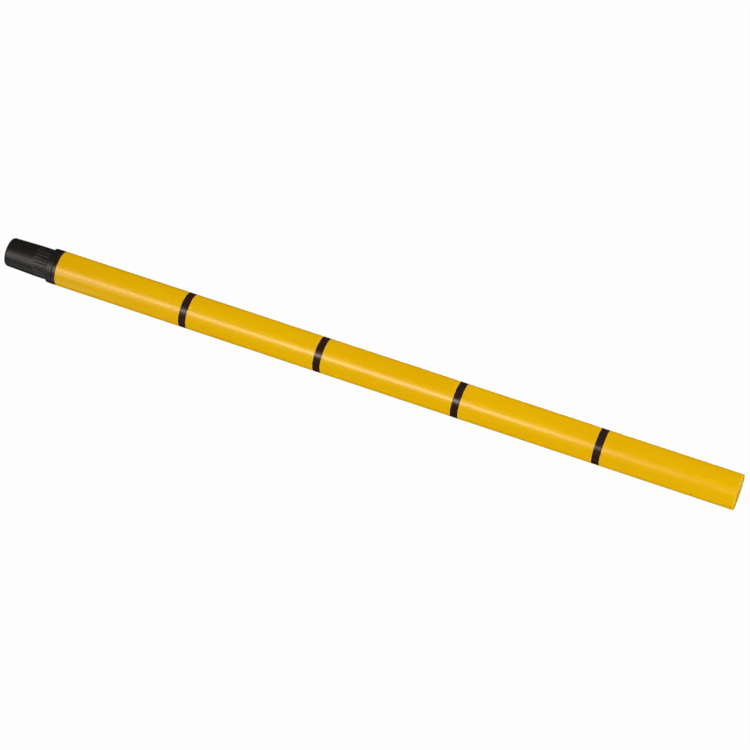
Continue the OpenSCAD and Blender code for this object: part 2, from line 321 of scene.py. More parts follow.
def combined(piece: bpy.types.Object, grids: Sequence[np.ndarray], how: Cut) -> bpy.types.Object:
    """Adds solids to a piece or takes them away from it.

    Args:
        piece: The piece to change.
        grids: Closed surfaces whose first and last rows are points.
        how: Whether the solids are added or taken away.

    Returns:
        The same piece, with a new mesh.
    """
    tools = [piece_of(f"{piece.name}.tool{k}", [grid], ring=False) for k, grid in enumerate(grids)]
    for tool in tools:
        cut = piece.modifiers.new("cut", "BOOLEAN")
        cut.object, cut.operation, cut.solver = tool, how.value, "EXACT"
    bpy.context.view_layer.update()
    solid = bpy.data.meshes.new_from_object(piece.evaluated_get(bpy.context.evaluated_depsgraph_get()))
    old = piece.data
    piece.modifiers.clear()
    piece.data = solid
    solid.name = piece.name
    bpy.data.meshes.remove(old)
    for tool in tools:
        bpy.data.objects.remove(tool)
    mark_hard_edges(solid)
    return piece


# ---------------------------------------------------------------- materials


def math_node(operation: str, swapped: bool = False) -> Callable[..., "Wire"]:
    """Makes a method of Wire that adds one Math node.

    Args:
        operation: What the node works out.
        swapped: True where the other value comes before the socket's own.

    Returns:
        The method.
    """

    def method(self: "Wire", other: "Value" = 0.0) -> "Wire":
        """Adds the node to the socket's graph."""
        first, second = (other, self) if swapped else (self, other)
        return self.graph.add("ShaderNodeMath", {"operation": operation}, {0: first, 1: second})

    return method


@dataclass(frozen=True, eq=False)
class Wire:
    """An output socket, with arithmetic that adds Math nodes."""

    graph: "NodeGraph"
    socket: bpy.types.NodeSocket

    __add__ = __radd__ = math_node("ADD")
    __sub__ = math_node("SUBTRACT")
    __rsub__ = math_node("SUBTRACT", swapped=True)
    __mul__ = __rmul__ = math_node("MULTIPLY")
    __truediv__ = math_node("DIVIDE")
    __pow__ = math_node("POWER")
    __abs__ = math_node("ABSOLUTE")
    beat = math_node("FLOORED_MODULO")  # what is left after whole periods, from 0 to the period

    def sway(self, amount: float) -> "Wire":
        """Half the amount either side of 0, where self runs from 0 to 1."""
        return (self - 0.5) * amount


Value = Wire | float


class NodeGraph:
    """A material's nodes, and the ways in which finishes add to them."""

    def __init__(self, name: str) -> None:
        """Starts a new material with only its coordinates, in metres.

        Args:
            name: Name of the material.
        """
        self.material = bpy.data.materials.new(name)
        self.material.use_nodes = True
        self.tree = self.material.node_tree
        self.tree.nodes.clear()
        self.place = self.add("ShaderNodeTexCoord", {}, {}, "Object")
        x, y, self.z = (self.add("ShaderNodeSeparateXYZ", {}, {0: self.place}, axis) for axis in "XYZ")
        self.radius = (x * x + y * y) ** 0.5

    def add(
        self, kind: str, settings: Mapping[str, Any], sockets: Mapping[int | str, Any], output: int | str = 0
    ) -> Wire:
        """Adds a node.

        Args:
            kind: Type of the node.
            settings: Values of its properties, set first.
            sockets: Value or link of each input socket.
            output: Name or number of the socket to return.

        Returns:
            The chosen output.
        """
        node = self.tree.nodes.new(kind)
        for key, value in settings.items():
            setattr(node, key, value)
        for key, value in sockets.items():
            if isinstance(value, Wire):
                self.tree.links.new(value.socket, node.inputs[key])
            else:
                node.inputs[key].default_value = value
        return Wire(self, node.outputs[output])

    def noise(
        self, size: float, detail: float = 2.0, stretch: Sequence[float] = (1, 1, 1), shift: Sequence[float] = (0, 0, 0)
    ) -> Wire:
        """Noise on the piece's own place.

        Args:
            size: Size of a blotch, in millimetres.
            detail: Octaves of finer noise in it.
            stretch: How far it is drawn out along X, Y and Z.
            shift: Moves it, so that two patterns of one size differ.

        Returns:
            The noise, about 0.5 on average.
        """
        scale = tuple(1 / (MM * size * s) for s in stretch)
        sockets = {"Vector": self.place, "Location": tuple(shift), "Scale": scale}
        return self.pattern(self.add("ShaderNodeMapping", {"vector_type": "POINT"}, sockets), detail)

    def pattern(self, spot: Wire, detail: float = 2.0) -> Wire:
        """Noise read at a spot."""
        return self.add("ShaderNodeTexNoise", {}, {"Vector": spot, "Scale": 1.0, "Detail": detail})

    def fade(self, value: Value, start: float, end: float) -> Wire:
        """Rises smoothly from 0 to 1.

        Args:
            value: What it depends on.
            start: Value where it is 0.
            end: Value where it is 1, above or below start.

        Returns:
            The share reached.
        """
        low, high, to_low, to_high = (start, end, 0.0, 1.0) if start < end else (end, start, 1.0, 0.0)
        sockets = {"Value": value, "From Min": low, "From Max": high, "To Min": to_low, "To Max": to_high}
        return self.add("ShaderNodeMapRange", {"interpolation_type": "SMOOTHSTEP"}, sockets)

    def mix(self, share: Value, first: "Wire | Colour", second: "Wire | Colour") -> Wire:
        """Colour between first and second."""
        a, b = (c if isinstance(c, Wire) else (*c, 1.0) for c in (first, second))
        return self.add("ShaderNodeMix", {"data_type": "RGBA"}, {0: share, 6: a, 7: b}, 2)

    def close(self, base: Wire, rough: Wire, relief: Wire, depth: float, **others: Value) -> bpy.types.Material:
        """Ends the graph in a Principled shader.

        Args:
            base: Base colour.
            rough: Roughness.
            relief: Height of the surface's relief.
            depth: Millimetres that the relief is high where its height is 1.
            others: Values of further sockets.

        Returns:
            The material.
        """
        bump = self.add("ShaderNodeBump", {}, {"Strength": 1.0, "Distance": depth * MM, "Height": relief})
        sockets = {"Base Color": base, "Roughness": rough, "Normal": bump, **others}
        return self.finish(self.add("ShaderNodeBsdfPrincipled", {}, sockets))

    def finish(self, shader: Wire) -> bpy.types.Material:
        """Links a shader to the output.

        Args:
            shader: The shader.

        Returns:
            The material.
        """
        end = self.tree.nodes.new("ShaderNodeOutputMaterial")
        self.tree.links.new(shader.socket, end.inputs["Surface"])
        return self.material


@dataclass(frozen=True)
class BandRow:
    """Heights of the evenly spaced marking bands, in millimetres."""

    low: float
    step: float
    width: float

    @classmethod
    def measured(cls) -> "BandRow":
        """Measures the first two CAD bands."""
        first, second = Span.of("marking_band_1"), Span.of("marking_band_2")
        return cls(first.low, second.low - first.low, first.high - first.low)

    def off_middle(self, height: Wire) -> Wire:
        """Distance |((h - m + s / 2) mod s) - s / 2| from the nearest band's middle m, s apart."""
        half_step = self.step / 2
        return abs((height - (self.low + self.width / 2 - half_step)).beat(self.step) - half_step)


@dataclass(frozen=True)
class Finish:
    """A named finish. Colours are linear."""

    name: str
    slot: str
    colour: Colour

    def dress(self, g: NodeGraph) -> bpy.types.Material:
        """Builds the finish.

        Args:
            g: Graph of the finish's new material, whose place and radius are in
                metres. Sizes of noise are in millimetres.

        Returns:
            The material.
        """
        raise NotImplementedError


@lru_cache(maxsize=None)
def material_of(finish: Finish) -> bpy.types.Material:
    """The one material of a finish."""
    return finish.dress(NodeGraph(finish.name))


@dataclass(frozen=True, kw_only=True)
class ExtrudedPlastic(Finish):
    """Tube extruded in coloured plastic: faint die lines, soft gloss, light handling marks and a painted highlight
    along its edges.
    """

    mouth: float
    bands: BandRow
    deep: Colour = (0.66, 0.33, 0.0012)
    # pale colour of the handling marks, and of the painted highlight along the tube's edges
    chalk_and_rim_highlight: Colour = (0.80, 0.50, 0.045)
    grime: Colour = (0.30, 0.17, 0.012)
    roughness: float = 0.28
    relief: float = 0.035

    def dress(self, g: NodeGraph) -> bpy.types.Material:
        """Die lines run the length of the tube; a painted highlight makes the edges by the band seats and the mouth
        paler, and dirt gathers at seats and mouth.

        Args:
            g: Graph of the finish's new material.

        Returns:
            The material.
        """
        height = g.z * TO_MM
        cloud = g.noise(70, 3, (1, 1, 3.5))
        lines = g.noise(0.9, 2, (1, 1, 160))
        broad = g.noise(5, 2, (1, 1, 60))
        peel = g.noise(1.6)
        rub = g.fade(g.noise(1.1, 3, (1, 1, 28), (3, 1, 4)), 0.66, 0.80)
        mark = rub * g.fade(g.noise(55, 2, shift=(9, 2, 5)), 0.50, 0.68)
        seat = self.bands.off_middle(height) - self.bands.width / 2
        soil = g.fade(seat, 0.8, 0.0) * 0.12 + g.fade(height, self.mouth + 5, self.mouth) * 0.30
        soil = soil * g.fade(g.noise(6, 3), 0.30, 0.72)
        # painted highlight: a paler strip beside each band seat and just above the mouth, where light catches the
        # tube's edges
        painted_rim_highlight = g.fade(seat, 1.7, 0.6) + g.fade(height, self.mouth + 1.8, self.mouth + 0.7)
        base = g.mix(g.fade(cloud, 0.30, 0.70) * 0.30 + g.fade(broad, 0.35, 0.65) * 0.12, self.colour, self.deep)
        base = g.mix(mark * 0.35 + painted_rim_highlight * 0.60, base, self.chalk_and_rim_highlight)
        base = g.mix(soil, base, self.grime)
        rough = self.roughness + lines.sway(0.10) + cloud.sway(0.08) + mark * 0.20 + soil * 0.12
        return g.close(base, rough, peel * 0.35 + lines * 0.35 + broad * 0.30 - mark * 0.5, self.relief, IOR=1.49)


@dataclass(frozen=True, kw_only=True)
class MouldedPlastic(Finish):
    """Moulded plastic with a fine grain, drifting shade and rubbed high spots."""

    drift: Colour
    rubbed: Colour
    roughness: float
    rub_radius: float
    rub_low: float = -23.0
    rub_high: float = -0.5
    grain_size: float = 0.55
    grain_depth: float = 0.02
    flow: float = 0.3

    def dress(self, g: NodeGraph) -> bpy.types.Material:
        """Flow lines wander up the part; rubbing shows only on the outermost radius of a height range.

        Args:
            g: Graph of the finish's new material.

        Returns:
            The material.
        """
        height = g.z * TO_MM
        grain = g.noise(self.grain_size, 3)
        flow = g.noise(9, 3, (1, 1, 3.0))
        scrape = g.fade(g.noise(0.8, 3, (1, 1, 14)), 0.46, 0.66)
        crest = g.fade(g.radius * TO_MM, self.rub_radius - 0.25, self.rub_radius)
        zone = g.fade(height, self.rub_low - 1, self.rub_low + 1) * g.fade(height, self.rub_high + 1, self.rub_high - 1)
        rub = crest * zone * scrape * g.fade(g.noise(14), 0.30, 0.65)
        dust = g.fade(g.noise(3.2, 4, shift=(2, 7, 1)), 0.56, 0.78) * 0.5
        base = g.mix(g.fade(flow, 0.30, 0.70) * self.flow + grain * 0.15, self.colour, self.drift)
        base = g.mix(rub * 0.55 + dust * 0.12, base, self.rubbed)
        rough = self.roughness + flow.sway(0.16) + grain.sway(0.10) + rub * 0.12 + dust * 0.10
        return g.close(base, rough, grain * 0.7 + flow * 0.3, self.grain_depth, IOR=1.50)


@dataclass(frozen=True, kw_only=True)
class BandPlastic(Finish):
    """Thin plastic band, satin, with paler worn edges and fine scratches round the post."""

    bands: BandRow
    drift: Colour = (0.036, 0.014, 0.0105)
    worn: Colour = (0.085, 0.058, 0.045)
    worn_width: float = 0.55
    roughness: float = 0.27
    relief: float = 0.02

    def dress(self, g: NodeGraph) -> bpy.types.Material:
        """Edges are found from the distance to the band's middle.

        Args:
            g: Graph of the finish's new material.

        Returns:
            The material.
        """
        half = self.bands.width / 2
        edge = g.fade(self.bands.off_middle(g.z * TO_MM), half - self.worn_width, half)
        cloud = g.noise(7, 3)
        hair = g.fade(g.noise(0.35, 3, (22, 22, 1)), 0.60, 0.75)
        wear = edge * g.fade(g.noise(2.4, 3), 0.42, 0.66)
        base = g.mix(g.fade(cloud, 0.35, 0.65) * 0.6, self.colour, self.drift)
        base = g.mix(wear * 0.7 + hair * 0.12, base, self.worn)
        rough = self.roughness + cloud.sway(0.12) + hair * 0.10 + wear * 0.2
        return g.close(base, rough, g.noise(1.1) - hair * 0.3, self.relief, IOR=1.50)


@dataclass(frozen=True)
class Rubber(Finish):
    """Matt rubber with a dusty bloom and fine pits."""

    bloom: Colour = (0.045, 0.044, 0.042)
    roughness: float = 0.72
    relief: float = 0.03

    def dress(self, g: NodeGraph) -> bpy.types.Material:
        """Bloom lies in soft blotches.

        Args:
            g: Graph of the finish's new material.

        Returns:
            The material.
        """
        blotch = g.fade(g.noise(5, 4), 0.40, 0.70)
        pits = g.noise(0.35, 3)
        base = g.mix(blotch * 0.55 + pits * 0.2, self.colour, self.bloom)
        return g.close(base, self.roughness + blotch * 0.12 - pits * 0.06, pits, self.relief, IOR=1.50)


@dataclass(frozen=True)
class AnodisedTube(Finish):
    """Drawn tube, black anodised: long draw lines and paler tracks where the guides run."""

    track: Colour = (0.085, 0.086, 0.092)
    roughness: float = 0.34
    metal: float = 0.55
    relief: float = 0.012

    def dress(self, g: NodeGraph) -> bpy.types.Material:
        """Both kinds of line run the length of the tube.

        Args:
            g: Graph of the finish's new material.

        Returns:
            The material.
        """
        draw = g.noise(0.5, 3, (1, 1, 220))
        broad = g.noise(4.0, 2, (1, 1, 90), (5, 5, 0))
        track = g.fade(g.noise(0.7, 3, (1, 1, 110), (1, 8, 3)), 0.58, 0.72) * g.fade(broad, 0.42, 0.62)
        cloud = g.fade(g.noise(40, 3, (1, 1, 2)), 0.3, 0.7)
        base = g.mix(track * 0.5 + draw * 0.12 + cloud * 0.1, self.colour, self.track)
        rough = self.roughness + draw.sway(0.18) + broad.sway(0.10) - track * 0.06
        return g.close(base, rough, draw * 0.6 + broad * 0.4 - track * 0.25, self.relief, Metallic=self.metal)


@dataclass(frozen=True)
class ZincPlate(Finish):
    """Bright zinc plate with a faint blue and straw cast and a few dull spots."""

    straw: Colour = (0.55, 0.50, 0.38)
    blue: Colour = (0.42, 0.48, 0.56)
    dull: Colour = (0.30, 0.30, 0.29)
    roughness: float = 0.28
    relief: float = 0.008

    def dress(self, g: NodeGraph) -> bpy.types.Material:
        """The cast drifts over a centimetre; dull spots are a millimetre or two.

        Args:
            g: Graph of the finish's new material.

        Returns:
            The material.
        """
        cast = g.noise(9)
        dull = g.fade(g.noise(2.0, 4, shift=(4, 1, 7)), 0.58, 0.74)
        fine = g.noise(0.4)
        base = g.mix(g.fade(cast, 0.50, 0.72) * 0.45, self.colour, self.straw)
        base = g.mix(g.fade(cast, 0.48, 0.28) * 0.45, base, self.blue)
        base = g.mix(dull * 0.5, base, self.dull)
        rough = self.roughness + dull * 0.25 + fine.sway(0.12)
        return g.close(base, rough, fine, self.relief, Metallic=1.0 - dull * 0.25)


@dataclass(frozen=True)
class TurnedMetal(Finish):
    """Metal turned on a lathe: feed marks round the part and across its faces."""

    stain: Colour = (0.40, 0.40, 0.39)
    roughness: float = 0.30
    feed: float = 0.22
    relief: float = 0.012

    def dress(self, g: NodeGraph) -> bpy.types.Material:
        """Feed marks are noise of height plus radius, so they circle walls and faces alike.

        Args:
            g: Graph of the finish's new material.

        Returns:
            The material.
        """
        marks = g.pattern(g.add("ShaderNodeCombineXYZ", {}, {0: (g.z + g.radius) / (self.feed * MM)}))
        stain = g.fade(g.noise(6, 4), 0.50, 0.72)
        base = g.mix(stain * 0.35 + marks * 0.15, self.colour, self.stain)
        rough = self.roughness + marks.sway(0.20) + stain * 0.15
        return g.close(base, rough, marks, self.relief, Metallic=1.0)


BANDS = BandRow.measured()
SLEEVE_YELLOW = ExtrudedPlastic(
    "sleeve_yellow_plastic", "sleeve_yellow", (0.768, 0.438, 0.0012), mouth=Span.of("sleeve_tube").low, bands=BANDS
)
CAP_YELLOW = MouldedPlastic(
    "cap_yellow_plastic", "cap_yellow", (0.79, 0.470, 0.003), drift=(0.72, 0.42, 0.002),
    rubbed=(0.62, 0.40, 0.03), roughness=0.38, grain_depth=0.012, rub_radius=25.0, rub_low=1011, rub_high=1014,
)
BAND_BLACK = BandPlastic("band_black_plastic", "band_black", (0.0265, 0.0100, 0.0070), bands=BANDS)
FOOT_BLACK = MouldedPlastic(
    "foot_black_plastic", "foot_black", (0.0110, 0.0098, 0.0084), drift=(0.019, 0.0170, 0.0150),
    rubbed=(0.060, 0.058, 0.056), roughness=0.42, rub_radius=22.1,
)
BUSH_BLACK = MouldedPlastic(
    "bush_black_plastic", "bush_black", (0.0190, 0.0078, 0.0072), drift=(0.028, 0.0125, 0.0115),
    rubbed=(0.050, 0.046, 0.046), roughness=0.28, rub_radius=25.0, rub_low=10, rub_high=15,
)
LOCK_PLASTIC = MouldedPlastic(
    "lock_grey_plastic", "lock_plastic", (0.034, 0.034, 0.038), drift=(0.045, 0.045, 0.050),
    rubbed=(0.11, 0.11, 0.115), roughness=0.40, rub_radius=22.55, rub_low=870, rub_high=960,
)
STEM_BLACK = AnodisedTube("stem_black_anodised", "stem_black", (0.026, 0.026, 0.030))
RUBBER_BLACK = Rubber("seal_black_rubber", "rubber_black", (0.0115, 0.0115, 0.0125))
ZINC_STEEL = ZincPlate("zinc_plated_steel", "zinc_steel", (0.49, 0.50, 0.51))
PLAIN_ALUMINIUM = TurnedMetal("turned_aluminium", "plain_aluminium", (0.58, 0.585, 0.60))
INSERT_BRASS = TurnedMetal("turned_brass", "insert_brass", (0.58, 0.36, 0.070), stain=(0.30, 0.18, 0.05))


def fit(piece: bpy.types.Object, body: Body, finish: Finish, *nodes: str) -> None:
    """Dresses a piece, hangs it on its body and lets it stand for CAD nodes.

    Args:
        piece: The piece, at the origin.
        body: Body that it rides on.
        finish: Its finish.
        nodes: CAD nodes that it replaces.
    """
    piece.data.materials.clear()
    piece.data.materials.append(material_of(finish))
    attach(piece, body.value)
    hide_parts(*nodes)
    log.info("%s: %d faces, rides on %s, stands for %s", piece.name, len(piece.data.polygons), body.value, nodes)


# ---------------------------------------------------------------- shapes


def hexagon(across_flats: float, turn: np.ndarray) -> np.ndarray:
    """Radius of a hexagon: (af / 2) / cos(((t + 30 deg) mod 60 deg) - 30 deg)."""
    return across_flats / 2 / np.cos((turn + HALF_SIDE) % (2 * HALF_SIDE) - HALF_SIDE)


def on_wall(radius: np.ndarray, wall: float, slack: float = GAP) -> np.ndarray:
    """True where the surface is the wall of that radius."""
    return np.abs(radius - wall) < slack


def straight_wall(radius: float, heights: Sequence[float]) -> list[Corner]:
    """Corners of a wall that needs rows at these heights."""
    return [(radius, height, 0.0) for height in heights]


@dataclass(frozen=True)
class Thread:
    """A thread cut into a rod."""

    pitch: float
    starts: int
    depth: float
    low: float
    high: float
    radius: float

    def __call__(self, radius: np.ndarray, height: np.ndarray, turn: np.ndarray) -> np.ndarray:
        """Cuts the thread where the surface is the rod's wall.

        R = r - depth * clip(1.5 |2 ((h / pitch - starts t / 2 pi) mod 1) - 1| - 0.25, 0, 1),
        which fades in over one pitch at both ends.

        Args:
            radius: Radius of each point.
            height: Height of each point.
            turn: Angle of each point.

        Returns:
            The radius with the thread.
        """
        phase = (height / self.pitch - self.starts * turn / FULL_TURN) % 1
        flank = np.clip(1.5 * np.abs(2 * phase - 1) - 0.25, 0, 1)
        fade = np.clip((height - self.low) / self.pitch, 0, 1) * np.clip((self.high - height) / self.pitch, 0, 1)
        return np.where(on_wall(radius, self.radius), radius - self.depth * flank * fade, radius)

    def rows(self, samples: int) -> list[Corner]:
        """Corners of the wall that carries the thread, with this many rows to a pitch."""
        count = int((self.high - self.low) / self.pitch * samples)
        return straight_wall(self.radius, np.linspace(self.low, self.high, count))


@dataclass(frozen=True)
class HexNut:
    """A hexagon nut with chamfered faces and a countersunk bore."""

    low: float
    high: float
    across_flats: float
    bore: float
    face: float = 0.95  # radius of the flat face, as a share of half the width across flats
    slope: float = 1.75  # rise of the chamfer for each unit of radius
    chamfer_rows: int = 9
    sink: float = 0.45

    def grid(self) -> np.ndarray:
        """R = min(hexagon(t), face radius + chamfer depth * slope) on the outer wall.

        Returns:
            Points of the nut's surface.
        """
        half = self.across_flats / 2
        start, corner, wide = half * self.face, half / math.cos(HALF_SIDE), self.bore + self.sink
        steps = np.linspace(0, (corner - start) / self.slope, self.chamfer_rows)
        rise = np.concatenate([self.low + steps, [(self.low + self.high) / 2], (self.high - steps)[::-1]])
        wall = np.stack([np.full(rise.shape, corner), rise], axis=1)
        inner = [(wide, self.high), (self.bore, self.high - self.sink), (self.bore, self.low + self.sink)]
        profile = np.concatenate([wall, inner, [(wide, self.low)]])

        def chamfered(radius: np.ndarray, height: np.ndarray, turn: np.ndarray) -> np.ndarray:
            """Hexagon under two chamfer cones.

            Args:
                radius: Radius of each point.
                height: Height of each point.
                turn: Angle of each point.

            Returns:
                The nut's radius on the outer wall, and the given one inside.
            """
            edge = np.minimum(height - self.low, self.high - height)
            outer = np.minimum(hexagon(self.across_flats, turn), start + edge * self.slope)
            return np.where(radius > wide + self.sink, outer, radius)

        return carried_round(profile, even_turns(Columns.WASHER), chamfered)


def rod(radius: float, low: float, high: float, rounding: float, columns: int) -> np.ndarray:
    """Surface of a rod along the axis, with rounded ends.

    Args:
        radius: Its radius.
        low: Height of its lower end.
        high: Height of its upper end.
        rounding: Rounding of its two edges.
        columns: Number of columns round it.

    Returns:
        Points of the surface.
    """
    corners = [(0, low, 0), (radius, low, rounding), (radius, high, rounding), (0, high, 0)]
    return carried_round(outline(corners, closed=False), even_turns(columns))


def across(grid: np.ndarray, height: float, turn: float = 0.0) -> np.ndarray:
    """Lays a rod along the axis over, so that it points out at angle turn and a height."""
    lay = Matrix.Rotation(turn, 3, "Z") @ Matrix.Rotation(math.pi / 2, 3, "Y")
    return turned(grid, lay, (0, 0, height))


def round_piece(
    name: str, corners: Sequence[Corner], columns: int = Columns.RING, ring: bool = True, shape: Shape | None = None
) -> bpy.types.Object:
    """Makes a piece from an outline carried round the axis.

    Args:
        name: Name of the piece.
        corners: Radius, height and rounding of each corner of the outline.
        columns: Number of columns round the axis.
        ring: True for the section of a ring, False for an outline that starts
            and ends on the axis.
        shape: Changes the radius with height and angle, or None.

    Returns:
        The piece.
    """
    return piece_of(name, [carried_round(outline(corners, closed=ring), even_turns(columns), shape)], ring)


def plain_ring(
    name: str, node: str, inner: float, rounding: float, columns: int = Columns.RING, outer: float | None = None
) -> bpy.types.Object:
    """Makes a ring with four rounded corners, as tall and wide as a CAD node.

    Args:
        name: Name of the piece.
        node: The CAD node.
        inner: Inner radius.
        rounding: Rounding of the corners.
        columns: Number of columns round the axis.
        outer: Outer radius, or None for the node's own.

    Returns:
        The piece.
    """
    span = Span.of(node)
    wide = span.radius if outer is None else outer
    section = ((inner, span.low), (wide, span.low), (wide, span.high), (inner, span.high))
    return round_piece(name, [(*corner, rounding) for corner in section], columns)


# ---------------------------------------------------------------- sub-assemblies


@dataclass
class Foot:
    """The ribbed foot that drops into the ground socket, its seal ring, bolt and washer."""

    flange_radius: float = 25.0
    spigot_radius: float = 22.1
    tip_radius: float = 20.7
    tip_rounding: float = 3.0
    rib_length: float = 22.0
    rib_rows: int = 23
    rib_count: int = 24
    rib_columns: int = 16
    rib_slack: float = 0.3
    gather: float = 0.6
    groove_depth: float = 0.6
    groove_half_width: float = 0.85
    groove_end: float = 0.4
    run_out: float = 1.6
    stem_bore: float = 20.02
    stem_seat: float = -35.0
    web_low: float = -55.0
    bolt_hole: float = 4.3
    recess: float = 9.0
    seal_inner: float = 21.62
    seal_outer: float = 23.38
    seal_depth: float = 1.6
    socket_across_flats: float = 6.0
    socket_depth: float = 4.0
    socket_cone: float = 0.9
    head_height: float = 8.0
    shank_radius: float = 4.0
    shank_chamfer: float = 0.5
    shank_pitch: float = 1.25
    shank_thread_depth: float = 0.6
    plain_shank: float = 8.0
    knurl_count: int = 48
    knurl_depth: float = 0.22
    knurl_columns: int = 6

    def build(self) -> None:
        """Makes the four pieces of the foot."""
        fit(self.moulding(), Body.STEM, FOOT_BLACK, "foot_spigot")
        seal = Span.of("seat_ring")
        ring = round_piece("foot_seal_ring", [
            (self.seal_inner, seal.low, 0.15), (self.seal_outer, seal.low, 0.15),
            (self.seal_outer, seal.high, 0.6), (self.seal_inner, seal.high, 0.6),
        ])
        fit(ring, Body.STEM, RUBBER_BLACK, "seat_ring")
        fit(self.bolt(), Body.STEM, ZINC_STEEL, "foot_bolt")
        washer = plain_ring("foot_bolt_washer", "foot_washer", self.bolt_hole, 0.25, Columns.WASHER)
        fit(washer, Body.STEM, ZINC_STEEL, "foot_washer")

    def turns(self) -> np.ndarray:
        """Columns gathered at the grooves: t = u + (gather / n) sin(n u), grooves at odd half steps."""
        even = even_turns(self.rib_count * self.rib_columns)
        return even + self.gather / self.rib_count * np.sin(self.rib_count * even)

    def moulding(self) -> bpy.types.Object:
        """The foot itself, with grooves between the ribs.

        A groove is depth * cos^2(pi s / 2 w) deep at arc length s < w from its
        middle, and runs out smoothly at its lower end.

        Returns:
            The piece.
        """
        span = Span.of("foot_spigot")
        flange, seat = span.high, span.high - self.seal_depth
        profile = outline([
            (self.recess, span.low, 0.5), (self.tip_radius, span.low, self.tip_rounding),
            (self.spigot_radius, -self.rib_length, 9.0),
            *straight_wall(self.spigot_radius, np.linspace(-self.rib_length, 0, self.rib_rows)[1:-1]),
            (self.spigot_radius, 0, 0.35), (self.flange_radius, 0, 0.5),
            (self.flange_radius, flange, 0.55), (self.seal_outer + GAP, flange, 0.15),
            (self.seal_outer + GAP, seat, 0.15), (self.seal_inner - GAP, seat, 0.15),
            (self.seal_inner - GAP, flange, 0.15), (self.stem_bore, flange, 0.3),
            (self.stem_bore, self.stem_seat, 0.4), (self.bolt_hole, self.stem_seat, 0.2),
            (self.bolt_hole, self.web_low, 0.2), (self.recess, self.web_low, 0.5),
        ])

        def grooved(radius: np.ndarray, height: np.ndarray, turn: np.ndarray) -> np.ndarray:
            """Cuts the grooves into the ribbed wall.

            Args:
                radius: Radius of each point.
                height: Height of each point.
                turn: Angle of each point.

            Returns:
                The radius with the grooves.
            """
            phase = (turn * self.rib_count / FULL_TURN) % 1 - 0.5
            arc = np.abs(phase) * FULL_TURN / self.rib_count * self.spigot_radius
            dip = np.cos(np.clip(arc / self.groove_half_width, 0, 1) * math.pi / 2) ** 2
            rise = np.clip((height + self.rib_length - self.groove_end) / self.run_out, 0, 1)
            rise = rise * rise * (3 - 2 * rise)
            ribbed = on_wall(radius, self.spigot_radius, self.rib_slack) & (height < -0.05)
            return np.where(ribbed, radius - self.groove_depth * dip * rise, radius)

        return piece_of("foot_moulding", [carried_round(profile, self.turns(), grooved)], ring=True)

    def bolt(self) -> bpy.types.Object:
        """Socket-head bolt with a knurled head, a hexagon socket and a threaded shank.

        Returns:
            The piece.
        """
        span, shank, chamfer = Span.of("foot_bolt"), self.shank_radius, self.shank_chamfer
        head_top = span.low + self.head_height
        floor = span.low + self.socket_depth
        socket = self.socket_across_flats / 2 / math.cos(HALF_SIDE)
        thread = Thread(
            self.shank_pitch, 1, self.shank_thread_depth, head_top + self.plain_shank, span.high - 0.6, shank
        )
        knurl_low, knurl_high = span.low + 1.0, head_top - 0.8
        corners: list[Corner] = [
            (0, floor + self.socket_cone, 0), (socket, floor, 0), (socket, span.low + 0.5, 0),
            (socket + 0.5, span.low, 0), (span.radius, span.low, 0.7),
            *straight_wall(span.radius, (knurl_low, knurl_low + 0.3, knurl_high - 0.3, knurl_high)),
            (span.radius, head_top, 0.3), (shank, head_top, 0.25), *thread.rows(7),
            (shank, span.high - chamfer, 0), (shank - chamfer, span.high, 0), (0, span.high, 0),
        ]

        def shape(radius: np.ndarray, height: np.ndarray, turn: np.ndarray) -> np.ndarray:
            """Hexagon inside, knurl round the head and thread on the shank.

            Args:
                radius: Radius of each point.
                height: Height of each point.
                turn: Angle of each point.

            Returns:
                The radius with all three.
            """
            inside = on_wall(radius, socket) & (height < floor + 0.01)
            radius = np.where(inside, hexagon(self.socket_across_flats, turn), radius)
            ridge = 0.5 - 0.5 * np.cos(self.knurl_count * turn)
            knurled = on_wall(radius, span.radius) & (height > knurl_low + 0.1) & (height < knurl_high - 0.1)
            return thread(np.where(knurled, radius - self.knurl_depth * ridge, radius), height, turn)

        return round_piece("foot_bolt_socket_head", corners, self.knurl_count * self.knurl_columns, False, shape)


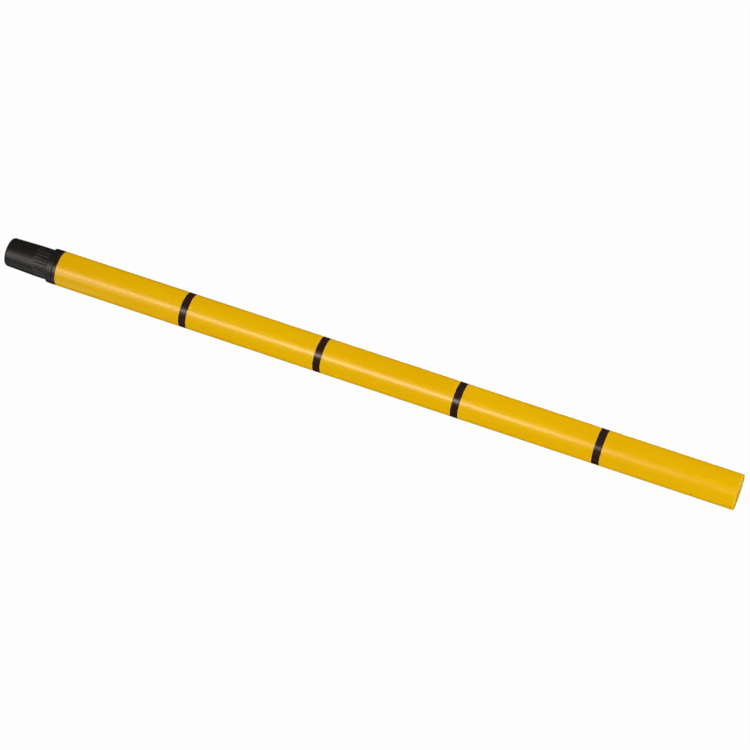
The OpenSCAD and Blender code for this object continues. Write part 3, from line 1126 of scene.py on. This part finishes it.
@dataclass
class Stem:
    """The inner tube, its two plugs and pins, the stop collar and the guide ring."""

    bore: float = 18.0
    radius: float = 20.0
    plug_radius: float = 17.98
    cross_pin_radius: float = 2.5
    cut_reach: float = 30.0
    collar_pin_radius: float = 1.5
    collar_pin_end: float = 22.05
    collar_pin_count: int = 3
    collar_holes: tuple[float, float] = (15, 26)
    bolt_bore: float = 4.02
    spindle_bore: float = 5.02

    def build(self) -> None:
        """Makes the seven kinds of piece on the stem."""
        pins, radius = Span.of("cross_pins"), self.cross_pin_radius
        heights = (pins.low + radius, pins.high - radius)
        low_hole, high_hole = self.cross_rods(radius + GAP, self.cut_reach, 0, heights)
        round_holes = self.collar_rods(self.collar_pin_radius + GAP, self.collar_holes, 0)

        tube = plain_ring("stem_inner_tube", "stem_tube", self.bore, 0.45, Columns.TUBE, self.radius)
        combined(tube, [low_hole, high_hole, *round_holes], Cut.TAKE_AWAY)
        fit(tube, Body.STEM, STEM_BLACK, "stem_tube")
        collar = plain_ring("stem_stop_collar", "stop_collar", self.radius + GAP, 0.5)
        fit(combined(collar, round_holes, Cut.TAKE_AWAY), Body.STEM, PLAIN_ALUMINIUM, "stop_collar")

        rods = self.collar_rods(self.collar_pin_radius, (self.bore - 0.5, self.collar_pin_end), 0.35)
        fit(piece_of("stop_collar_roll_pins", rods, ring=False), Body.STEM, ZINC_STEEL, "stop_collar_pins")
        rods = self.cross_rods(radius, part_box("cross_pins")[1].x / MM, 0.4, heights)
        fit(piece_of("stem_cross_pins", rods, ring=False), Body.STEM, ZINC_STEEL, "cross_pins")
        fit(plain_ring("stem_guide_ring", "guide_ring", self.radius + GAP, 0.6), Body.STEM, LOCK_PLASTIC, "guide_ring")

        for name, node, corners, hole in (
            ("stem_lower_plug", "lower_plug", self.lower_plug(), low_hole),
            ("stem_upper_plug", "upper_plug", self.upper_plug(), high_hole),
        ):
            plug = round_piece(name, corners, Columns.PLUG, ring=False)
            fit(combined(plug, [hole], Cut.TAKE_AWAY), Body.STEM, PLAIN_ALUMINIUM, node)

    def lower_plug(self) -> list[Corner]:
        """Outline of the plug that the foot's bolt screws into.

        Returns:
            The outline's corners.
        """
        plug, end, bore = Span.of("lower_plug"), Span.of("foot_bolt").high + 2, self.bolt_bore
        return [
            (0, end, 0), (bore, end - 1.2, 0), (bore, plug.low + 0.6, 0), (bore + 0.6, plug.low, 0),
            (self.plug_radius, plug.low, 0.6), (self.plug_radius, plug.high, 1.0), (0, plug.high, 0),
        ]

    def upper_plug(self) -> list[Corner]:
        """Outline of the plug that holds the lock's spindle, with a flange on the tube.

        Returns:
            The outline's corners.
        """
        plug, tube_top, drilled = Span.of("upper_plug"), Span.of("stem_tube").high, Span.of("lock_spindle").low
        bore = self.spindle_bore
        return [
            (0, plug.low, 0), (self.plug_radius, plug.low, 1.0), (self.plug_radius, tube_top, 0.1),
            (plug.radius, tube_top, 0.3), (plug.radius, plug.high, 0.5), (bore + 0.5, plug.high, 0),
            (bore, plug.high - 0.5, 0), (bore, drilled, 0), (0, drilled - 1.4, 0),
        ]

    def cross_rods(self, radius: float, reach: float, rounding: float, heights: Sequence[float]) -> list[np.ndarray]:
        """Rods right through the stem, for the cross pins or their holes."""
        shape = rod(radius, -reach, reach, rounding, Columns.CROSS_PIN)
        return [across(shape, height) for height in heights]

    def collar_rods(self, radius: float, ends: Sequence[float], rounding: float) -> list[np.ndarray]:
        """Rods that point outwards, evenly spaced, for the collar's pins or their holes."""
        shape, middle = rod(radius, *ends, rounding, Columns.ROLL_PIN), Span.of("stop_collar").middle
        return [across(shape, middle, turn) for turn in even_turns(self.collar_pin_count)]


@dataclass
class TwistLock:
    """The lock in the head of the sleeve: spindle, nuts, washers, collet, rings and wedge."""

    spindle_radius: float = 5.0
    thread_pitch: float = 1.5
    thread_starts: int = 2
    thread_depth: float = 0.55
    nut_across_flats: float = 16.0
    collet_bore: float = 5.3
    collet_floor: float = 5.0
    collet_wall: float = 2.35
    cone_slope: float = math.tan(math.radians(8))
    slot_count: int = 4
    slot_width: float = 2.0
    slot_reach: float = 40.0
    ring_groove: float = 21.05
    ring_groove_width: float = 1.7
    ring_thickness: float = 1.5
    insert_radius: float = 8.0
    cone_foot_radius: float = 16.214
    cone_head_radius: float = 20.149
    cone_proud: float = 8.0
    fin_width: float = 1.6
    fin_inner: float = 12.0
    fin_radius: float = 20.75
    knurl_count: int = 60
    knurl_depth: float = 0.16
    knurl_rows: int = 10

    def build(self) -> None:
        """Makes the nine pieces of the lock."""
        self.spindle_and_nuts()
        self.collet()
        self.rings()
        self.cone()
        self.insert()

    def spindle_and_nuts(self) -> None:
        """Pieces on the stem: spindle, two nuts and two washers."""
        span, radius = Span.of("lock_spindle"), self.spindle_radius
        low, high = span.low + 1, span.high - 1
        thread = Thread(self.thread_pitch, self.thread_starts, self.thread_depth, low, high, radius)
        corners: list[Corner] = [
            (0, span.low, 0), (radius - 1, span.low, 0), *thread.rows(8), (radius - 1, span.high, 0), (0, span.high, 0)
        ]
        spindle = round_piece("lock_threaded_spindle", corners, Columns.SPINDLE, False, thread)
        fit(spindle, Body.STEM, ZINC_STEEL, "lock_spindle")
        for name, node in (("lock_jam_nut", "spindle_jam_nut"), ("lock_stop_nut", "stop_nut")):
            nut = Span.of(node)
            grid = HexNut(nut.low, nut.high, self.nut_across_flats, radius + GAP).grid()
            fit(piece_of(name, [grid], ring=True), Body.STEM, ZINC_STEEL, node)
        for name, node, finish in (
            ("lock_thrust_washer", "thrust_washer", LOCK_PLASTIC),
            ("lock_stop_washer", "stop_washer", ZINC_STEEL),
        ):
            fit(plain_ring(name, node, radius + GAP, 0.3, Columns.WASHER), Body.STEM, finish, node)

    def ring_heights(self) -> tuple[float, float]:
        """Heights of the middles of the two friction rings."""
        rings, half = Span.of("friction_rings"), self.ring_thickness / 2
        return rings.low + half, rings.high - half

    def collet(self) -> None:
        """The slotted collet, with a groove for each friction ring and a cone inside."""
        span, wall = Span.of("lock_collet"), Span.of("lock_collet").radius
        floor = span.low + self.collet_floor
        seat_top = wall - self.collet_wall
        seat_floor = seat_top - (span.high - span.low - self.collet_floor) * self.cone_slope
        grooves: list[Corner] = []
        for ring in self.ring_heights():
            low, high = ring - self.ring_groove_width / 2, ring + self.ring_groove_width / 2
            grooves += [(wall, low, 0.15), (self.ring_groove, low, 0.2)]
            grooves += [(self.ring_groove, high, 0.2), (wall, high, 0.15)]
        collet = round_piece("lock_slotted_collet", [
            (self.collet_bore, span.low, 0.3), (wall, span.low, 0.5), *grooves, (wall, span.high, 0.5),
            (seat_top, span.high, 0.3), (seat_floor, floor, 0.5), (self.collet_bore, floor, 0.3),
        ])
        pairs = self.slot_count // 2
        turns, ends = (np.arange(pairs) + 0.5) * math.pi / pairs, (-self.slot_reach, self.slot_reach)
        slots = bars(turns, ends, self.slot_width, floor + self.collet_floor, span.high + 5)
        fit(combined(collet, slots, Cut.TAKE_AWAY), Body.JAWS, LOCK_PLASTIC, "lock_collet")

    def rings(self) -> None:
        """The two rubber rings in the collet's grooves, each a circle carried round the axis."""
        half, turn = self.ring_thickness / 2, even_turns(Columns.CORD)
        across_cord = Span.of("friction_rings").radius - half + half * np.cos(turn)
        sections = [np.stack([across_cord, height + half * np.sin(turn)], 1) for height in self.ring_heights()]
        grids = [carried_round(section, even_turns(Columns.RING)) for section in sections]
        fit(piece_of("lock_friction_rings", grids, ring=True), Body.JAWS, RUBBER_BLACK, "friction_rings")

    def cone(self) -> None:
        """The finned cone that spreads the collet."""
        span = Span.of("wedge_cone")
        bore, shoulder = self.insert_radius + GAP, span.high - self.cone_proud
        cone = round_piece("lock_wedge_cone", [
            (bore, span.low, 0.2), (self.cone_foot_radius, span.low, 0.4), (self.cone_head_radius, shoulder, 0.5),
            (self.cone_head_radius, span.high, 0.6), (bore, span.high, 0.3),
        ])
        turns = (np.arange(self.slot_count) + 0.5) * FULL_TURN / self.slot_count
        fins = bars(turns, (self.fin_inner, self.fin_radius), self.fin_width, span.low + 0.3, shoulder - 0.01)
        fit(combined(cone, fins, Cut.ADD), Body.WEDGE, LOCK_PLASTIC, "wedge_cone")

    def insert(self) -> None:
        """The cone's brass insert, knurled outside and bored for the spindle."""
        span, radius = Span.of("wedge_insert"), self.insert_radius
        bore = self.spindle_radius + 0.05
        rows = np.linspace(span.low, span.high, self.knurl_rows)[1:-1]

        def knurled(radius: np.ndarray, height: np.ndarray, turn: np.ndarray) -> np.ndarray:
            """R = r - depth (1 - cos n t) / 2 on the outer wall, away from its ends."""
            wall = on_wall(radius, self.insert_radius) & (height > rows[0] - 0.1) & (height < rows[-1] + 0.1)
            return np.where(wall, radius - self.knurl_depth / 2 * (1 - np.cos(self.knurl_count * turn)), radius)

        insert = round_piece("lock_brass_insert", [
            (bore, span.high, 0.3), (bore, span.low, 0.3), (radius, span.low, 0.4),
            *straight_wall(radius, rows), (radius, span.high, 0.4),
        ], self.knurl_count * 6, shape=knurled)
        fit(insert, Body.WEDGE, INSERT_BRASS, "wedge_insert")


@dataclass
class Sleeve:
    """The yellow sleeve, its marking bands, the bush at its mouth, the wiper and the buffer."""

    bore: float = 22.6
    radius: float = 25.0
    band_depth: float = 0.6
    band_count: int = 4
    seat_rounding: float = 0.12
    bush_bore: float = 20.05
    wiper_groove: float = 21.55
    wiper_blade: float = 0.9
    wiper_tip: float = 0.25
    buffer_bore: float = 20.3

    def build(self) -> None:
        """Makes the sleeve's pieces."""
        self.tube()
        self.marking_bands()
        self.mouth()

    def bands(self) -> list[tuple[str, Span]]:
        """Name and span of each CAD band."""
        names = [f"marking_band_{number}" for number in range(1, self.band_count + 1)]
        return [(name, Span.of(name)) for name in names]

    def tube(self) -> None:
        """The sleeve tube, with a shallow seat for each band."""
        span, depth, r = Span.of("sleeve_tube"), self.radius - self.band_depth, self.seat_rounding
        seats: list[Corner] = []
        for _, band in self.bands():
            low, high = band.low - GAP, band.high + GAP
            seats += [(self.radius, low, r), (depth, low, 0.08), (depth, high, 0.08), (self.radius, high, r)]
        tube = round_piece("sleeve_yellow_tube", [
            (self.bore, span.low, 0.4), (self.radius, span.low, 0.35), *seats,
            (self.radius, span.high, 0.3), (self.bore, span.high, 0.4),
        ], Columns.TUBE)
        fit(tube, Body.SLEEVE, SLEEVE_YELLOW, "sleeve_tube")

    def marking_bands(self) -> None:
        """The marking bands, flush with the tube."""
        inner, r = self.radius - self.band_depth + GAP, self.seat_rounding
        for number, (node, band) in enumerate(self.bands(), 1):
            ring = round_piece(f"sleeve_black_band_{number}", [
                (inner, band.low, 0.05), (self.radius, band.low, r),
                (self.radius, band.high, r), (inner, band.high, 0.05),
            ], Columns.TUBE)
            fit(ring, Body.SLEEVE, BAND_BLACK, node)

    def mouth(self) -> None:
        """The bush with its lip, the wiper in the lip and the buffer above."""
        bush, wiper = Span.of("mouth_bush"), Span.of("wiper_seal")
        lip, body = Span.of("sleeve_tube").low, self.bore - GAP
        low, high = wiper.low - GAP, wiper.high + GAP
        piece = round_piece("sleeve_mouth_bush", [
            (self.bush_bore, bush.low, 0.3), (self.radius, bush.low, 0.55), (self.radius, lip, 0.2),
            (body, lip, 0.1), (body, bush.high, 0.6), (self.bush_bore, bush.high, 0.5),
            (self.bush_bore, high, 0.1), (self.wiper_groove, high, 0.1),
            (self.wiper_groove, low, 0.1), (self.bush_bore, low, 0.1),
        ], Columns.TUBE)
        fit(piece, Body.SLEEVE, BUSH_BLACK, "mouth_bush")

        inner, middle, tip = self.bush_bore - GAP, wiper.middle, self.wiper_tip
        blade = inner + self.wiper_blade
        piece = round_piece("sleeve_wiper_lip", [
            (inner, middle - tip, 0.1), (blade, wiper.low, 0.2), (wiper.radius, wiper.low, 0.1),
            (wiper.radius, wiper.high, 0.1), (blade, wiper.high, 0.2), (inner, middle + tip, 0.1),
        ])
        fit(piece, Body.SLEEVE, RUBBER_BLACK, "wiper_seal")
        buffer = plain_ring("sleeve_lift_buffer", "lift_buffer", self.buffer_bore, 0.7)
        fit(buffer, Body.SLEEVE, RUBBER_BLACK, "lift_buffer")


@dataclass
class TopCap:
    """The cap pressed into the top of the sleeve, and the rubber pad under it."""

    radius: float = 25.0
    edge: float = 1.2
    rim: float = 3.0
    skirt: float = 22.58
    wall: float = 3.0
    boss: float = 9.0
    dish_radius: float = 22.4
    dish_slope: float = 0.7
    dish_depth: float = 0.45
    gate_radius: float = 2.0
    gate_slope: float = 0.5
    gate_depth: float = 0.2
    web_overlap: float = 0.4
    web_inset: float = 0.3

    def build(self) -> None:
        """Makes the cap and its pad."""
        span, pad = Span.of("top_cap"), Span.of("cap_pad")
        plate, dish = span.high - self.rim, span.high - self.dish_depth
        inner, gate = self.skirt - self.wall, dish - self.gate_depth
        cap = round_piece("cap_moulding", [
            (0, span.low, 0), (self.boss, span.low, 0.4), (self.boss, plate, 0.5), (inner, plate, 0.5),
            (inner, span.low, 0.4), (self.skirt, span.low, 0.6), (self.skirt, plate, 0.1),
            (self.radius, plate, 0.2), (self.radius, span.high, self.edge),
            (self.dish_radius, span.high, 0.35), (self.dish_radius - self.dish_slope, dish, 0.5),
            (self.gate_radius, dish, 0.2), (self.gate_radius - self.gate_slope, gate, 0.2), (0, gate, 0),
        ], Columns.TUBE, ring=False)
        reach, low, high = inner + self.web_overlap, span.low + self.web_inset, plate + self.web_overlap
        webs = bars((0, math.pi / 2), (-reach, reach), self.wall, low, high)
        fit(combined(cap, webs, Cut.ADD), Body.SLEEVE, CAP_YELLOW, "top_cap")
        disc = rod(pad.radius, pad.low, pad.high, 0.9, Columns.PLUG)
        fit(piece_of("cap_rubber_pad", [disc], ring=False), Body.SLEEVE, RUBBER_BLACK, "cap_pad")


# ---------------------------------------------------------------- studio


@dataclass
class Softbox:
    """One area light, placed by direction from a point on the post's axis."""

    name: str
    height: float  # height on the axis that it faces
    direction: Sequence[float]
    distance: float
    across: float
    along: float
    power: float
    gleams: bool = False  # True shows only in reflections, False only lights surfaces
    tint: Colour = (1, 1, 1)

    def build(self) -> None:
        """Makes the light, with its long side in the plane of the post's axis."""
        light = bpy.data.lights.new(self.name, "AREA")
        light.shape, light.size, light.size_y = "RECTANGLE", self.across, self.along
        light.energy, light.color = self.power, self.tint
        light.cycles.use_multiple_importance_sampling = self.gleams  # else soft light would still shine in gloss
        lamp = bpy.data.objects.new(self.name, light)
        back = Vector(self.direction).normalized()
        up = (Vector((0, 0, 1)) - back * back.z).normalized()
        turn = Matrix((up.cross(back), up, back)).transposed()
        lamp.matrix_world = Matrix.LocRotScale(Vector((0, 0, self.height)) + back * self.distance, turn, None)
        lamp.visible_glossy, lamp.visible_diffuse, lamp.visible_camera = self.gleams, not self.gleams, False
        bpy.context.scene.collection.objects.link(lamp)


@dataclass
class Studio:
    """White stage, even light and the camera."""

    lens: float = 120.0
    sensor: float = 36.0
    clip: tuple[float, float] = (0.05, 100)
    axis_in_view: tuple[float, float, float] = (0.92588, -0.30641, 0.22105)
    edge_in_view: tuple[float, float, float] = (-0.4435, 0.15075, -3.53475)
    edge_height: float = 0.01358
    white: float = 0.985
    ring_height: float = 0.51
    ring_rise: float = 0.12
    ring_powers: tuple[float, ...] = (43.0, 41.0, 39.0, 37.0, 39.0, 41.0)
    ahead: tuple[float, float, float] = (0.228, -0.95, -0.2155)
    warm: Colour = (1.0, 0.88, 0.80)
    stage_radius: float = 12.0
    cove: float = 4.0
    cove_rows: int = 17
    clearance: float = 0.0006

    def build(self) -> None:
        """Makes the stage, the lights and the camera."""
        scene = bpy.context.scene
        scene.view_settings.view_transform = "Standard"
        scene.view_settings.look = "None"
        scene.world = bpy.data.worlds.new("dark_beyond_stage")
        scene.world.color = (0, 0, 0)
        self.stage()
        self.camera()
        for box in self.softboxes():
            box.build()

    def camera(self) -> None:
        """Aims the camera from where it sees the post's axis.

        W_z is the post's axis as the camera sees it, W_y the part of the view
        direction square to it, and W_x = W_y x W_z. They are the columns of the
        turn from the post's frame to the camera's, so its transpose turns the
        camera, and the camera stands at edge - turn * edge_in_view.
        """
        axis = Vector(self.axis_in_view).normalized()
        ahead = Vector((0, 0, -1))
        side = (ahead - axis * ahead.dot(axis)).normalized()
        turn = Matrix((side.cross(axis), side, axis))
        place = Vector((0, 0, self.edge_height)) - turn @ Vector(self.edge_in_view)
        data = bpy.data.cameras.new("camera")
        data.lens, data.sensor_width, data.sensor_fit = self.lens, self.sensor, "HORIZONTAL"
        data.clip_start, data.clip_end = self.clip
        data.dof.use_dof = False
        camera = bpy.data.objects.new("camera", data)
        camera.matrix_world = Matrix.LocRotScale(place, turn, None)
        bpy.context.scene.collection.objects.link(camera)
        bpy.context.scene.camera = camera

    def stage(self) -> None:
        """Plain white floor that sweeps up into a wall and a ceiling all round.

        The outline is a flat floor, a quarter circle of the cove's radius and
        a quarter ellipse above it, carried round the axis.
        """
        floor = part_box("foot_spigot")[0].z - self.clearance
        rise = np.linspace(0, math.pi / 2, self.cove_rows)
        inner = self.stage_radius - self.cove
        cove = np.stack([inner + self.cove * np.sin(rise), floor + self.cove * (1 - np.cos(rise))], 1)
        dome = np.stack([self.stage_radius * np.cos(rise), floor + self.cove + self.stage_radius * np.sin(rise)], 1)
        dome[-1, 0] = 0
        profile = np.concatenate([[(0, floor), (inner / 2, floor)], cove, dome[1:]])
        piece = piece_of("stage", [carried_round(profile / MM, even_turns(Columns.STAGE))], ring=False)
        g = NodeGraph("stage_white")
        glow = g.add("ShaderNodeEmission", {}, {"Color": (1, 1, 1, 1), "Strength": self.white})
        piece.data.materials.append(g.finish(glow))
        for ray in ("diffuse", "glossy", "transmission", "volume_scatter", "shadow"):
            setattr(piece, f"visible_{ray}", False)

    def softboxes(self) -> list[Softbox]:
        """The lights: an even ring that shows in no reflection, and strips that draw highlights.

        Returns:
            A ring of boxes about the post, one above and one below, a strip and
            its brighter core in front, a strip behind and two small boxes by
            the foot.
        """
        ring = []
        for k, (turn, power) in enumerate(zip(even_turns(len(self.ring_powers)), self.ring_powers)):
            out = (math.sin(turn), -math.cos(turn), self.ring_rise)
            ring.append(Softbox(f"ring_box_{k}", self.ring_height, out, 2.6, 1.8, 2.4, power))
        # name, height, direction, distance, across, along, power
        return ring + [
            Softbox("top_box", 1.0, (0, -0.15, 1), 2.0, 1.6, 1.6, 30.0),
            Softbox("under_box", 0.0, (0, -0.2, -1), 2.0, 1.6, 1.6, 12.0),
            Softbox("strip", 0.315, self.ahead, 1.6, 0.44, 1.35, 10.7, True, self.warm),
            Softbox("strip_core", 0.57, self.ahead, 1.6, 0.42, 0.5, 2.8, True, self.warm),
            Softbox("back_strip", 0.48, (-0.1, 1, 0), 1.8, 0.42, 1.3, 11.0, True),
            Softbox("foot_box", -0.04, (1.0, 0.1, -0.4), 1.2, 0.8, 0.3, 0.7, True),
            Softbox("foot_strip", -0.055, (0.545, -0.839, -0.40), 1.2, 0.55, 0.28, 2.1, True),
        ]


def main() -> None:
    """Builds every sub-assembly and the studio."""
    logging.basicConfig(level=logging.INFO, format="%(name)s: %(message)s")
    for assembly in (Foot(), Stem(), TwistLock(), Sleeve(), TopCap(), Studio()):
        log.info("building %s", type(assembly).__name__)
        assembly.build()


if __name__ == "__main__":
    main()
